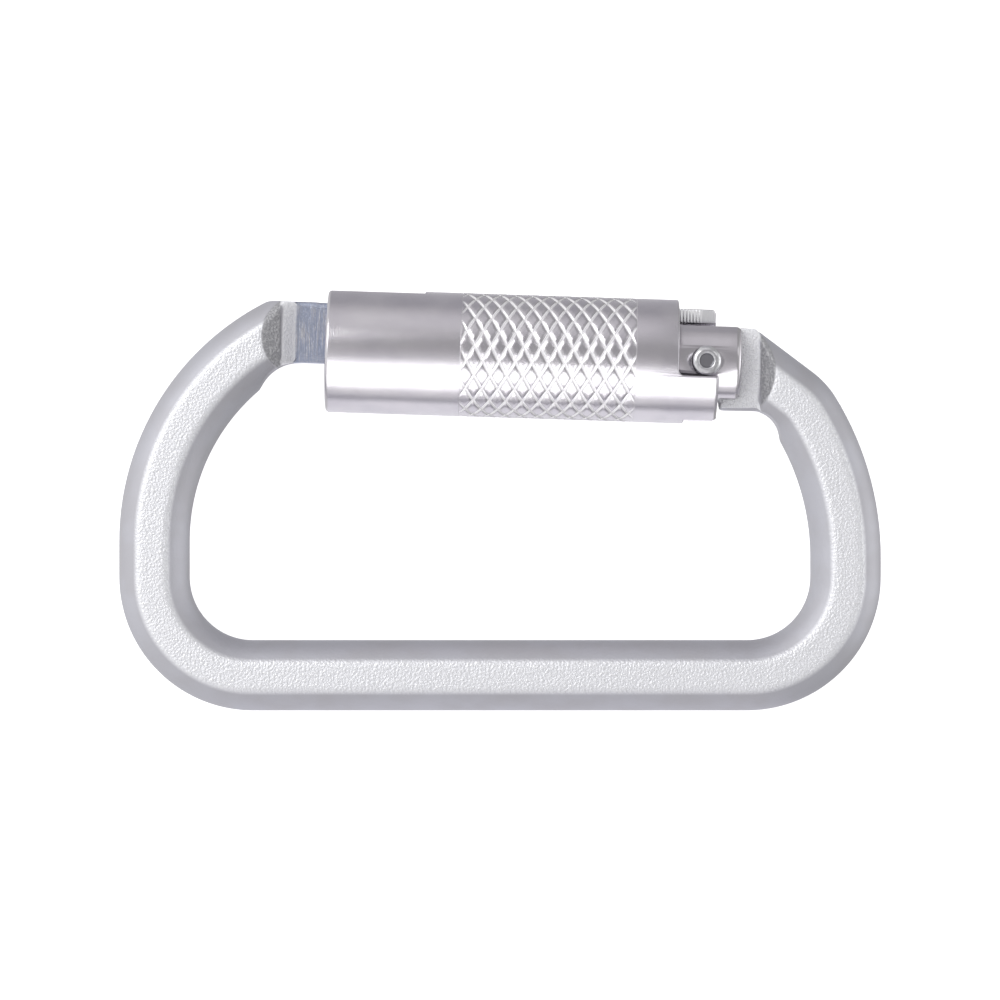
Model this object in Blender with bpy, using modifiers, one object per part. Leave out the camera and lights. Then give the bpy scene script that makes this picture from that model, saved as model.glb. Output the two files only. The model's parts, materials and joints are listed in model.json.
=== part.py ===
"""Locking carabiner: a bent steel bar with a hinged gate and a twist sleeve.

The carabiner lies flat: +X runs along the spine towards the hinge end, +Y from the
spine to the gate, +Z out of the face. The origin is the middle of its bounding box.
Lengths below are in millimetres and are turned into metres where meshes are made.
"""

import math

import bmesh
import bpy
from mathutils import Matrix, Vector

MM = 0.001
GAP = 0.3

# the bent bar, by its centreline
BAR_RADIUS = 5.0
FACE_HEIGHT = 4.665          # half the thickness between the pressed front and back flats
SPINE_Y = -24.85
FLANK_X = 49.0
CORNER_RADIUS = 13.95
NOSE_BEND = {"centre": (-16.0, -5.8), "radius": 33.0, "end_deg": 106.0}
HINGE_BEND = {"centre": (10.65, -8.1), "radius": 38.35, "end_deg": 31.5}
SHOULDER_BEND = {"radius": 8.0, "end_deg": 53.0}
SHOULDER_LENGTH = 9.5        # straight run from the shoulder bend towards the hinge

# the gate's axis runs from the hinge pin towards the nose
HINGE = Vector((28.9, 19.5, 0.0))
GATE_TILT_DEG = 1.85
SWING_DEG = 36.0

# hinge tongue, a flat plate round the pin with a spiral cam for the plunger
HINGE_TONGUE_HALF = 2.4
CAM_START_RADIUS = 4.0
CAM_END_RADIUS = 5.0
TONGUE_TOP_RADIUS = 4.6
HINGE_FLAT_X = 36.5
HINGE_SLOPE_X = 38.7
UNDERSIDE_Y = 12.6
UNDERSIDE_FILLET = 3.75

# nose tongue, a flat plate inside the gate's head
NOSE_TONGUE_HALF = 2.0
NOSE_TIP_U = 41.5
NOSE_TOP_V = 6.7
NOSE_BOTTOM_V = -1.9
NOSE_SLOPE_START_U = 62.55
NOSE_BAND_START_U = 59.6
NOSE_FLAT_U = 57.8
NOSE_BAND_HEIGHT = 3.65
RELIEF_CENTRE = (-28.9, 14.0)
RELIEF_RADIUS = 5.4

# gate
BARREL_RADIUS = 5.8
BARREL_END_U = -5.1
BARREL_EDGE = 0.8
HEAD_RADIUS = 7.0
HEAD_START_U = 37.7
HEAD_END_U = 52.9
HEAD_SLOT_END_U = 40.0
HEAD_SLOT_HALF = NOSE_TONGUE_HALF + GAP
FORK_HALF = HINGE_TONGUE_HALF + GAP
FORK_END_U = 6.2
PLUNGER_BORE_RADIUS = 2.0
PLUNGER_BORE_END_U = 24.0
RING_GROOVE_U = (7.0, 8.6)
RING_GROOVE_RADIUS = 5.05

# pins
PIN_RADIUS = 1.95
PIN_HOLE_RADIUS = 2.2
PIN_FRONT_Z = 8.3
PIN_BACK_Z = -5.8
PIN_RECESS_RADIUS = 1.0
PIN_RECESS_DEPTH = 0.8
LATCH_U = 46.5
LATCH_RADIUS = 1.25
LATCH_HOLE_RADIUS = 1.5
LATCH_HALF_LENGTH = 6.5

# sleeve
SLEEVE_RADIUS = 8.75
SLEEVE_START_U = -1.8
SLEEVE_END_U = 53.4
SLEEVE_EDGE = 0.45
NOSE_BORE_RADIUS = 7.3
CHAMBER_RADIUS = 7.0
WEB_RADIUS = 6.1
WEB_U = (33.0, 37.2)
WINDOW_END_U = 3.87
WINDOW_FLOOR_V = -2.2
WINDOW_WALL_Z = -4.0
WINDOW_FILLET = 0.9
SLEEVE_SLOT_HALF = NOSE_TONGUE_HALF + 0.25
SLEEVE_SLOT_END_U = 39.8
TONGUE_NOTCH_END_U = 2.7

# bush, ring, springs and plunger
BUSH_U = (8.9, 10.9)
BUSH_RADII = (6.1, 6.7)
RING_U = (7.3, 8.3)
RING_RADII = (5.35, 6.6)
RING_OPENING_HALF = 1.6
TORSION_WIRE = 0.6
TORSION_RADIUS = 6.4
TORSION_U = (11.7, 32.2)
TORSION_TURNS = 10
GATE_WIRE = 0.5
GATE_COIL_RADIUS = 1.4
GATE_COIL_U = (10.15, 23.4)
GATE_COIL_TURNS = 9
PLUNGER_RADIUS = 1.7
PLUNGER_TIP_RADIUS = 0.6
PLUNGER_U = (CAM_START_RADIUS + 0.08, 9.5)

ROUND_STEPS = 48
COIL_STEPS = 14

tilt = math.radians(GATE_TILT_DEG)
TOWARDS_NOSE = Vector((-math.cos(tilt), math.sin(tilt), 0.0))
OUTWARD = Vector((math.sin(tilt), math.cos(tilt), 0.0))
FORWARD = Vector((0.0, 0.0, 1.0))


def frame_of(origin, x_axis, y_axis):
    """Placement whose local X and Y run along the two axes, with its origin in mm."""
    z_axis = x_axis.cross(y_axis)
    rotation = Matrix((x_axis, y_axis, z_axis)).transposed().to_4x4()
    return Matrix.Translation(origin * MM) @ rotation


FLAT = Matrix.Identity(4)
TURNED = frame_of(HINGE, OUTWARD, -FORWARD)
SIDE = frame_of(HINGE, TOWARDS_NOSE, OUTWARD)
TOP = frame_of(HINGE, TOWARDS_NOSE, FORWARD)


def clear_scene():
    for old in list(bpy.data.objects):
        bpy.data.objects.remove(old)


def new_collection(name):
    collection = bpy.data.collections.new(name)
    bpy.context.scene.collection.children.link(collection)
    return collection


def new_material(name, colour, roughness):
    material = bpy.data.materials.new(name)
    material.use_nodes = True
    shader = material.node_tree.nodes["Principled BSDF"]
    shader.inputs["Base Color"].default_value = (*colour, 1.0)
    shader.inputs["Roughness"].default_value = roughness
    shader.inputs["Metallic"].default_value = 1.0
    return material


def add_object(name, data, placement, collection, material=None):
    thing = bpy.data.objects.new(name, data)
    collection.objects.link(thing)
    thing.matrix_world = placement
    if material:
        data.materials.append(material)
    return thing


def as_cutter(thing):
    thing.hide_render = True
    thing.display_type = 'WIRE'
    return thing


def arc(centre, radius, start_deg, end_deg, steps):
    """Points of an arc, both ends included."""
    points = []
    for step in range(steps + 1):
        angle = math.radians(start_deg + (end_deg - start_deg) * step / steps)
        x = centre[0] + radius * math.cos(angle)
        y = centre[1] + radius * math.sin(angle)
        points.append((x, y))
    return points


def poly_curve(name, points, closed):
    curve = bpy.data.curves.new(name, 'CURVE')
    spline = curve.splines.new('POLY')
    spline.points.add(len(points) - 1)
    for point, place in zip(spline.points, points):
        x, y, z = (*place, 0.0)[:3]
        point.co = (x * MM, y * MM, z * MM, 1.0)
    spline.use_cyclic_u = closed
    return curve


def mesh_of_curve(name, curve, placement, collection, material=None):
    """A welded mesh object made from a curve, which is then removed."""
    source = add_object(name + "_curve", curve, placement, collection)
    bpy.context.view_layer.update()
    evaluated = source.evaluated_get(bpy.context.evaluated_depsgraph_get())
    mesh = bpy.data.meshes.new_from_object(evaluated)
    world = source.matrix_world.copy()
    bpy.data.objects.remove(source)
    shape = bmesh.new()
    shape.from_mesh(mesh)
    bmesh.ops.remove_doubles(shape, verts=shape.verts, dist=0.000001)
    shape.to_mesh(mesh)
    shape.free()
    return add_object(name, mesh, world, collection, material)


def prism(name, outline, low, high, placement, collection):
    """A flat outline given its thickness along local Z, from low to high."""
    curve = poly_curve(name, outline, True)
    curve.dimensions = '2D'
    curve.fill_mode = 'BOTH'
    curve.extrude = (high - low) / 2 * MM
    middle = Matrix.Translation((0.0, 0.0, (low + high) / 2 * MM))
    return mesh_of_curve(name, curve, placement @ middle, collection)


def turned(name, outline, placement, collection, closed, material=None):
    """A turned shape. The outline's (radius, height) points run down the outer side."""
    shape = bmesh.new()
    corners = [shape.verts.new((r * MM, 0.0, h * MM)) for r, h in outline]
    for first, second in zip(corners, corners[1:]):
        shape.edges.new((first, second))
    if closed:
        shape.edges.new((corners[-1], corners[0]))
    mesh = bpy.data.meshes.new(name)
    shape.to_mesh(mesh)
    shape.free()
    thing = add_object(name, mesh, placement, collection, material)
    screw = thing.modifiers.new("turn", 'SCREW')
    screw.steps = ROUND_STEPS
    screw.render_steps = ROUND_STEPS
    screw.use_merge_vertices = True
    screw.merge_threshold = 0.00001
    return thing


def rod(name, radius, low, high, placement, collection):
    outline = [(0.0, high), (radius, high), (radius, low), (0.0, low)]
    return turned(name, outline, placement, collection, False)


def combine(target, other, operation):
    boolean = target.modifiers.new(other.name, 'BOOLEAN')
    boolean.operation = operation
    boolean.object = other


def cut(target, *cutters):
    for cutter in cutters:
        combine(target, as_cutter(cutter), 'DIFFERENCE')


def join(target, *others):
    for other in others:
        combine(target, as_cutter(other), 'UNION')


def helix(radius, low, high, turns):
    """A coil about local Z whose first and last turns lie flat and closed."""
    points = []
    count = turns * COIL_STEPS
    for step in range(count + 1):
        turn = step / COIL_STEPS
        rise = min(max((turn - 0.75) / (turns - 1.5), 0.0), 1.0)
        flat = 0.09 * (min(turn, 0.75) - max(turn - turns + 0.75, 0.0) * -1.0)
        height = low + (high - low - 2 * 0.09 * 0.75) * rise + flat
        angle = 2 * math.pi * turn
        points.append((radius * math.cos(angle), radius * math.sin(angle), height))
    return points


def coil(name, wire, radius, span, turns, collection, material):
    curve = poly_curve(name, helix(radius, span[0], span[1], turns), False)
    curve.dimensions = '3D'
    curve.bevel_depth = wire / 2 * MM
    curve.bevel_resolution = 2
    curve.use_fill_caps = True
    return mesh_of_curve(name, curve, TURNED, collection, material)


def bar_centreline():
    """Centreline of the bent bar, from the nose round the spine to the hinge."""
    corner_y = SPINE_Y + CORNER_RADIUS
    corner_x = FLANK_X - CORNER_RADIUS
    nose, hinge, shoulder = NOSE_BEND, HINGE_BEND, SHOULDER_BEND
    points = arc(nose["centre"], nose["radius"], nose["end_deg"], 180.0, 14)
    points += arc((-corner_x, corner_y), CORNER_RADIUS, 180.0, 270.0, 12)
    points += arc((corner_x, corner_y), CORNER_RADIUS, 270.0, 360.0, 12)
    points += arc(hinge["centre"], hinge["radius"], 0.0, hinge["end_deg"], 7)
    angle = math.radians(hinge["end_deg"])
    pull = hinge["radius"] - shoulder["radius"]
    centre = (
        hinge["centre"][0] + pull * math.cos(angle),
        hinge["centre"][1] + pull * math.sin(angle),
    )
    bend = arc(centre, shoulder["radius"], hinge["end_deg"], shoulder["end_deg"], 4)
    points += bend[1:]
    heading = math.radians(shoulder["end_deg"] + 90.0)
    last = points[-1]
    points.append((
        last[0] + SHOULDER_LENGTH * math.cos(heading),
        last[1] + SHOULDER_LENGTH * math.sin(heading),
    ))
    return points


def make_bar(collection, material):
    curve = poly_curve("body", bar_centreline(), False)
    curve.dimensions = '3D'
    curve.bevel_depth = BAR_RADIUS * MM
    curve.bevel_resolution = 10
    curve.use_fill_caps = True
    return mesh_of_curve("body", curve, FLAT, collection, material)


def face_cutters(collection):
    """Slabs that press the bar's front and back flat."""
    sheet = [(-60.0, -40.0), (60.0, -40.0), (60.0, 40.0), (-60.0, 40.0)]
    front = prism("front_flat", sheet, FACE_HEIGHT, 8.0, FLAT, collection)
    back = prism("back_flat", sheet, -8.0, -FACE_HEIGHT, FLAT, collection)
    return front, back


def slope_cutters(name, outline, placement, collection):
    """The same stepped slope cut from the front and from the back."""
    mirrored = [(x, -z) for x, z in reversed(outline)]
    front = prism(name + "_front", outline, -12.0, 12.0, placement, collection)
    back = prism(name + "_back", mirrored, -12.0, 12.0, placement, collection)
    return front, back


def nose_cutters(collection):
    floor = NOSE_TONGUE_HALF - 0.1
    steps = [
        (NOSE_SLOPE_START_U, 9.0),
        (NOSE_SLOPE_START_U, FACE_HEIGHT),
        (NOSE_BAND_START_U, NOSE_BAND_HEIGHT),
        (NOSE_FLAT_U, floor),
        (45.0, floor),
        (45.0, 9.0),
    ]
    slopes = slope_cutters("nose_slope", steps, TOP, collection)
    top = [(45.0, NOSE_TOP_V), (66.0, NOSE_TOP_V), (66.0, 14.0), (45.0, 14.0)]
    trim = prism("nose_top", top, -9.0, 9.0, SIDE, collection)
    place = Matrix.Translation(Vector((*RELIEF_CENTRE, 0.0)) * MM)
    relief = rod("nose_relief", RELIEF_RADIUS, -9.0, 9.0, place, collection)
    return *slopes, trim, relief


def hinge_cutters(collection):
    floor = HINGE_TONGUE_HALF - 0.1
    flat_u = HINGE.x - HINGE_FLAT_X
    slope_u = HINGE.x - HINGE_SLOPE_X
    steps = [
        (12.0, 9.0),
        (12.0, floor),
        (flat_u, floor),
        (slope_u, FACE_HEIGHT),
        (slope_u, 9.0),
    ]
    slopes = slope_cutters("hinge_slope", steps, TOP, collection)
    top = [(24.0, 24.4), (36.2, 24.3), (33.0, 30.0), (24.0, 30.0)]
    trim = prism("hinge_top", top, -9.0, 9.0, FLAT, collection)
    centre = (35.9, UNDERSIDE_Y - UNDERSIDE_FILLET)
    fillet = arc(centre, UNDERSIDE_FILLET, 90.0, -30.0, 10)
    under = [(20.0, UNDERSIDE_Y), *fillet, (centre[0], 0.0), (20.0, 0.0)]
    belly = prism("hinge_belly", under, -9.0, 9.0, FLAT, collection)
    return *slopes, trim, belly


def nose_tongue(collection):
    """Flat nose with the notch that hooks on the latch pin."""
    notch = LATCH_RADIUS + 0.35
    outline = [(61.5, 3.0), (60.0, NOSE_TOP_V - 0.05)]
    outline += arc((NOSE_TIP_U + 1.2, NOSE_TOP_V - 1.25), 1.2, 90.0, 180.0, 5)
    outline += arc((NOSE_TIP_U + 1.0, NOSE_BOTTOM_V + 1.0), 1.0, 180.0, 270.0, 5)
    outline.append((LATCH_U - notch, NOSE_BOTTOM_V))
    outline += arc((LATCH_U, 0.0), notch, 180.0, 0.0, 10)
    outline.append((LATCH_U + notch, NOSE_BOTTOM_V))
    outline += [(57.6, NOSE_BOTTOM_V), (60.0, 0.5)]
    return prism(
        "nose_plate", outline, -NOSE_TONGUE_HALF, NOSE_TONGUE_HALF, SIDE, collection
    )


def spiral(start_deg, sweep_deg, low, high, steps):
    """Points about the hinge pin whose radius grows evenly with the angle."""
    points = []
    for step in range(steps + 1):
        share = step / steps
        angle = math.radians(start_deg + sweep_deg * share)
        radius = low + (high - low) * share
        x = HINGE.x + radius * math.cos(angle)
        y = HINGE.y + radius * math.sin(angle)
        points.append((x, y))
    return points


def hinge_tongue(collection):
    """Flat plate round the hinge pin, with the plunger's cam and the lock shoulder."""
    closed_deg = 180.0 - GATE_TILT_DEG
    outline = spiral(75.0, 45.0, TONGUE_TOP_RADIUS, TONGUE_TOP_RADIUS, 6)
    outline += spiral(126.0, 40.0, TONGUE_TOP_RADIUS, CAM_START_RADIUS, 6)
    outline += spiral(closed_deg, SWING_DEG, CAM_START_RADIUS, CAM_END_RADIUS, 14)
    outline += spiral(closed_deg + 42.0, 45.0, CAM_END_RADIUS, CAM_END_RADIUS, 8)
    outline += [(31.05, 14.2), (31.05, UNDERSIDE_Y + 0.1), (35.9, UNDERSIDE_Y)]
    outline += [(39.3, 13.2), (40.5, 18.0), (37.2, 23.0), (36.2, 24.2), (34.2, 24.3)]
    return prism(
        "hinge_plate", outline, -HINGE_TONGUE_HALF, HINGE_TONGUE_HALF, FLAT, collection
    )


def make_body(parts, cutters, material):
    body = make_bar(parts, material)
    cut(body, *face_cutters(cutters))
    cut(body, *nose_cutters(cutters), *hinge_cutters(cutters))
    join(body, nose_tongue(cutters), hinge_tongue(cutters))
    place = Matrix.Translation(HINGE * MM)
    cut(body, rod("tongue_hole", PIN_HOLE_RADIUS, -6.0, 6.0, place, cutters))
    return body


def rounded_end(radius, height, edge, upward):
    """Quarter round between a turned shape's side and its end, running down."""
    middle = (radius - edge, height - edge if upward else height + edge)
    start, end = (90.0, 0.0) if upward else (0.0, -90.0)
    return arc(middle, edge, start, end, 4)


def make_gate(parts, cutters, material):
    groove_low, groove_high = RING_GROOVE_U
    outline = [(0.0, HEAD_END_U)]
    outline += rounded_end(HEAD_RADIUS, HEAD_END_U, 0.5, True)
    outline += [
        (HEAD_RADIUS, HEAD_START_U),
        (BARREL_RADIUS, HEAD_START_U),
        (BARREL_RADIUS, groove_high),
        (RING_GROOVE_RADIUS, groove_high),
        (RING_GROOVE_RADIUS, groove_low),
        (BARREL_RADIUS, groove_low),
    ]
    outline += rounded_end(BARREL_RADIUS, BARREL_END_U, BARREL_EDGE, False)
    outline.append((0.0, BARREL_END_U))
    gate = turned("gate", outline, TURNED, parts, False, material)
    fork = [(-12.0, -FORK_HALF), (FORK_END_U, -FORK_HALF)]
    fork += [(FORK_END_U, FORK_HALF), (-12.0, FORK_HALF)]
    slot_floor = NOSE_BOTTOM_V - GAP
    slot = [(HEAD_SLOT_END_U, slot_floor), (60.0, slot_floor)]
    slot += [(60.0, 12.0), (HEAD_SLOT_END_U, 12.0)]
    across = frame_of(HINGE + TOWARDS_NOSE * LATCH_U, TOWARDS_NOSE, OUTWARD)
    cut(
        gate,
        prism("fork_slot", fork, -9.0, 9.0, TOP, cutters),
        prism("head_slot", slot, -HEAD_SLOT_HALF, HEAD_SLOT_HALF, SIDE, cutters),
        rod("plunger_bore", PLUNGER_BORE_RADIUS, 2.0, PLUNGER_BORE_END_U, TURNED, cutters),
        rod("ear_holes", PIN_HOLE_RADIUS, -8.0, 8.0, Matrix.Translation(HINGE * MM), cutters),
        rod("latch_hole", LATCH_HOLE_RADIUS, -9.0, 9.0, across, cutters),
    )
    return gate


def make_hinge_pin(parts, material):
    """Riveted pin whose proud front end, with a recess, stops the sleeve."""
    floor = PIN_FRONT_Z - PIN_RECESS_DEPTH
    outline = [
        (0.0, floor),
        (PIN_RECESS_RADIUS - 0.1, floor),
        (PIN_RECESS_RADIUS, PIN_FRONT_Z - 0.15),
        (PIN_RECESS_RADIUS + 0.25, PIN_FRONT_Z),
    ]
    outline += rounded_end(PIN_RADIUS, PIN_FRONT_Z, 0.55, True)
    outline += rounded_end(PIN_RADIUS, PIN_BACK_Z, 0.3, False)
    outline.append((0.0, PIN_BACK_Z))
    place = Matrix.Translation(HINGE * MM)
    return turned("hinge_pin", outline, place, parts, False, material)


def make_latch_pin(parts, material):
    place = frame_of(HINGE + TOWARDS_NOSE * LATCH_U, OUTWARD, TOWARDS_NOSE)
    outline = [(0.0, LATCH_HALF_LENGTH)]
    outline += rounded_end(LATCH_RADIUS, LATCH_HALF_LENGTH, 0.2, True)
    outline += rounded_end(LATCH_RADIUS, -LATCH_HALF_LENGTH, 0.2, False)
    outline.append((0.0, -LATCH_HALF_LENGTH))
    return turned("latch_pin", outline, place, parts, False, material)


def make_plunger(parts, material):
    tip, end = PLUNGER_U
    outline = [(0.0, end), (PLUNGER_RADIUS, end), (PLUNGER_RADIUS, tip + 1.6)]
    outline.append((PLUNGER_TIP_RADIUS, tip + PLUNGER_TIP_RADIUS))
    outline += arc((0.0, tip + PLUNGER_TIP_RADIUS), PLUNGER_TIP_RADIUS, -20.0, -90.0, 4)
    return turned("gate_plunger", outline, TURNED, parts, False, material)


def window_cutter(collection):
    """Opens the sleeve's hinge end over the pin, at the front and the top."""
    centre = (WINDOW_END_U - WINDOW_FILLET, WINDOW_FLOOR_V + WINDOW_FILLET)
    outline = [(-6.0, WINDOW_FLOOR_V), *arc(centre, WINDOW_FILLET, -90.0, 0.0, 5)]
    outline += [(WINDOW_END_U, 13.0), (-6.0, 13.0)]
    # SIDE has its local Z towards the back
    return prism("sleeve_window", outline, -13.0, -WINDOW_WALL_Z, SIDE, collection)


def make_sleeve(parts, cutters, material):
    low, high = SLEEVE_START_U, SLEEVE_END_U
    outline = [(NOSE_BORE_RADIUS, high)]
    outline += rounded_end(SLEEVE_RADIUS, high, SLEEVE_EDGE, True)
    outline += rounded_end(SLEEVE_RADIUS, low, SLEEVE_EDGE, False)
    outline += [
        (CHAMBER_RADIUS, low),
        (CHAMBER_RADIUS, WEB_U[0]),
        (WEB_RADIUS, WEB_U[0]),
        (WEB_RADIUS, WEB_U[1]),
        (NOSE_BORE_RADIUS, WEB_U[1]),
    ]
    sleeve = turned("sleeve", outline, TURNED, parts, True, material)
    half = SLEEVE_SLOT_HALF
    slot = [(SLEEVE_SLOT_END_U, 0.0), (60.0, 0.0), (60.0, 13.0), (SLEEVE_SLOT_END_U, 13.0)]
    notch = [(-6.0, -13.0), (TONGUE_NOTCH_END_U, -13.0)]
    notch += [(TONGUE_NOTCH_END_U, -3.0), (-6.0, -3.0)]
    cut(
        sleeve,
        window_cutter(cutters),
        prism("nose_slot", slot, -half, half, SIDE, cutters),
        prism("tongue_notch", notch, -FORK_HALF, FORK_HALF, SIDE, cutters),
    )
    return sleeve


def make_bush(parts, material):
    (low, high), (inner, outer) = BUSH_U, BUSH_RADII
    outline = [(outer, high), (outer, low), (inner, low), (inner, high)]
    return turned("sleeve_bush", outline, TURNED, parts, True, material)


def make_retaining_ring(parts, cutters, material):
    (low, high), (inner, outer) = RING_U, RING_RADII
    outline = [(outer, high), (outer, low), (inner, low), (inner, high)]
    ring = turned("retaining_ring", outline, TURNED, parts, True, material)
    mouth = [(low - 1.0, -9.0), (high + 1.0, -9.0), (high + 1.0, 0.0), (low - 1.0, 0.0)]
    half = RING_OPENING_HALF
    cut(ring, prism("ring_mouth", mouth, -half, half, SIDE, cutters))
    return ring


def main():
    clear_scene()
    parts = new_collection("locking_carabiner")
    cutters = new_collection("cutters")
    satin = (0.62, 0.63, 0.66)
    make_body(parts, cutters, new_material("body_steel", satin, 0.38))
    make_gate(parts, cutters, new_material("gate_steel", (0.6, 0.6, 0.62), 0.3))
    make_hinge_pin(parts, new_material("hinge_pin_steel", (0.72, 0.71, 0.7), 0.22))
    make_latch_pin(parts, new_material("latch_pin_steel", (0.66, 0.66, 0.67), 0.25))
    make_sleeve(parts, cutters, new_material("sleeve_steel", (0.66, 0.65, 0.67), 0.28))
    make_bush(parts, new_material("bush_brass", (0.72, 0.56, 0.3), 0.35))
    make_retaining_ring(parts, cutters, new_material("ring_steel", (0.3, 0.3, 0.32), 0.4))
    make_plunger(parts, new_material("plunger_steel", (0.6, 0.6, 0.62), 0.25))
    coil(
        "sleeve_spring", TORSION_WIRE, TORSION_RADIUS, TORSION_U, TORSION_TURNS,
        parts, new_material("sleeve_spring_wire", (0.5, 0.5, 0.52), 0.3),
    )
    coil(
        "gate_spring", GATE_WIRE, GATE_COIL_RADIUS, GATE_COIL_U, GATE_COIL_TURNS,
        parts, new_material("gate_spring_wire", (0.5, 0.5, 0.52), 0.3),
    )


main()
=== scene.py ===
import json
import math

import bpy
from mathutils import Matrix, Vector


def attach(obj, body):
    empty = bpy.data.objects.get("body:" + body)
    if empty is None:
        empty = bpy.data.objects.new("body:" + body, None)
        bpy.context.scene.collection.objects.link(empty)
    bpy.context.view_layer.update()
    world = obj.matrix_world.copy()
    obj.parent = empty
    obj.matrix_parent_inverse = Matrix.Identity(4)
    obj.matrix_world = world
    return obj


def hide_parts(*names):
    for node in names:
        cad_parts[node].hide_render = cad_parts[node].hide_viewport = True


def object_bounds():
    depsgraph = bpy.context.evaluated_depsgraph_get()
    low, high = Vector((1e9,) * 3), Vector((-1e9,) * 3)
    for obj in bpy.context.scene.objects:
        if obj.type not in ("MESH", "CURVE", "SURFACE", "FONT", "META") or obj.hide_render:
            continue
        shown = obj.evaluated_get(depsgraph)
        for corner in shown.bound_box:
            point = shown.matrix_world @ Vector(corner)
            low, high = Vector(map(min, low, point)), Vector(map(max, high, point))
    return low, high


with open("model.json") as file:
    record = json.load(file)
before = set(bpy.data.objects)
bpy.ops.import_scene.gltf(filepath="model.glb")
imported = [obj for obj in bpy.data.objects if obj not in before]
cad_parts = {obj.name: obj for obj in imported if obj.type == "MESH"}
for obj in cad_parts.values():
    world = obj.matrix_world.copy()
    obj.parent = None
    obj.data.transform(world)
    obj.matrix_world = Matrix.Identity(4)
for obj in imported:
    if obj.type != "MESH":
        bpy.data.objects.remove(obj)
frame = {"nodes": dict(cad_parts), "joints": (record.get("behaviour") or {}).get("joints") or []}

cadLow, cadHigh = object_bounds()
mm = 0.001

# the gate's own axes, from its joints
swing = next(j for j in frame["joints"] if j["name"] == "gate_swing")
twist = next(j for j in frame["joints"] if j["name"] == "sleeve_twist")
hinge = Vector(swing["pos_m"])
toNose = -Vector(twist["axis"]).normalized()
front = Vector((0, 0, 1))
outward = front.cross(toNose) * -1


def spaceOf(origin, xAxis, yAxis):
    turn = Matrix((xAxis, yAxis, xAxis.cross(yAxis))).transposed().to_4x4()
    return Matrix.Translation(origin) @ turn


flat = Matrix.Identity(4)
pinSpace = Matrix.Translation(hinge)
turnedSpace = spaceOf(hinge, outward, -front)  # local Z runs to the nose
sideSpace = spaceOf(hinge, toNose, outward)  # local Z runs to the back
topSpace = spaceOf(hinge, toNose, front)  # local Z runs outward
acrossSpace = spaceOf(Vector(), Vector((0, 1, 0)), front)  # local Z runs along the bar
print("frame loaded, hinge at", [round(c / mm, 2) for c in hinge])


def deselectAll():
    if bpy.context.object and bpy.context.object.mode != 'OBJECT':
        bpy.ops.object.mode_set(mode='OBJECT')
    bpy.ops.object.select_all(action='DESELECT')


def pick(piece):
    deselectAll()
    piece.select_set(True)
    bpy.context.view_layer.objects.active = piece


def edit(piece, mode='VERT'):
    pick(piece)
    bpy.ops.object.mode_set(mode='EDIT')
    bpy.ops.mesh.select_mode(type=mode)


def done():
    bpy.ops.object.mode_set(mode='OBJECT')


def facesOut(piece):
    edit(piece)
    bpy.ops.mesh.select_all(action='SELECT')
    bpy.ops.mesh.remove_doubles(threshold=0.000002)
    bpy.ops.mesh.normals_make_consistent(inside=False)
    done()


def place(piece, space):
    # settles the place in the mesh, the object stays at the origin
    piece.data.transform(space @ piece.matrix_world)
    piece.matrix_world = Matrix.Identity(4)
    return piece


def apply(piece, kind, **settings):
    pick(piece)
    modifier = piece.modifiers.new(kind.lower(), kind)
    for name, value in settings.items():
        setattr(modifier, name, value)
    bpy.ops.object.modifier_apply(modifier=modifier.name)


def cut(piece, *cutters, operation='DIFFERENCE'):
    for cutter in cutters:
        apply(piece, 'BOOLEAN', object=cutter, operation=operation, solver='EXACT')
        bpy.data.objects.remove(cutter)


def arc(centre, radius, start, end, steps):
    points = []
    for step in range(steps + 1):
        angle = math.radians(start + (end - start) * step / steps)
        points.append((centre[0] + radius * math.cos(angle), centre[1] + radius * math.sin(angle)))
    return points


def lathe(name, rings, space, sides=96, tube=False):
    # rings of (radius, height) in mm, run down the outer side
    deselectAll()
    radius, height = rings[0]
    bpy.ops.mesh.primitive_circle_add(
        vertices=sides, radius=radius * mm, location=(0, 0, height * mm))
    piece = bpy.context.object
    piece.name = name
    bpy.ops.object.transform_apply(location=True)
    edit(piece, 'EDGE')
    bpy.ops.mesh.select_all(action='SELECT')
    for (radius, height), (nextRadius, nextHeight) in zip(rings, rings[1:]):
        bpy.ops.mesh.extrude_edges_move(
            TRANSFORM_OT_translate={"value": (0, 0, (nextHeight - height) * mm)})
        grow = nextRadius / radius
        bpy.ops.transform.resize(
            value=(grow, grow, 1), center_override=(0, 0, nextHeight * mm))
    bpy.ops.mesh.select_all(action='DESELECT')
    bpy.ops.mesh.select_non_manifold()
    if tube:
        bpy.ops.mesh.bridge_edge_loops()
    else:
        bpy.ops.mesh.edge_face_add()
        bpy.ops.mesh.select_all(action='DESELECT')
        bpy.ops.mesh.select_non_manifold()
        bpy.ops.mesh.edge_face_add()
    done()
    facesOut(piece)
    return place(piece, space)


def plate(name, outline, low, high, space):
    # a flat outline in mm, extruded along local Z
    deselectAll()
    bpy.ops.mesh.primitive_circle_add(vertices=len(outline), fill_type='NGON')
    piece = bpy.context.object
    piece.name = name
    for vert, (x, y) in zip(piece.data.vertices, outline):
        vert.co = (x * mm, y * mm, low * mm)
    edit(piece, 'FACE')
    bpy.ops.mesh.select_all(action='SELECT')
    bpy.ops.mesh.extrude_region_move(
        TRANSFORM_OT_translate={"value": (0, 0, (high - low) * mm)})
    done()
    facesOut(piece)
    return place(piece, space)


def roundEnd(radius, height, edge, upward, steps=6):
    centre = (radius - edge, height - edge if upward else height + edge)
    return arc(centre, edge, 90 if upward else 0, 0 if upward else -90, steps)


def smooth(piece, degrees=35):
    pick(piece)
    bpy.ops.object.shade_smooth_by_angle(angle=math.radians(degrees))


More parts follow.
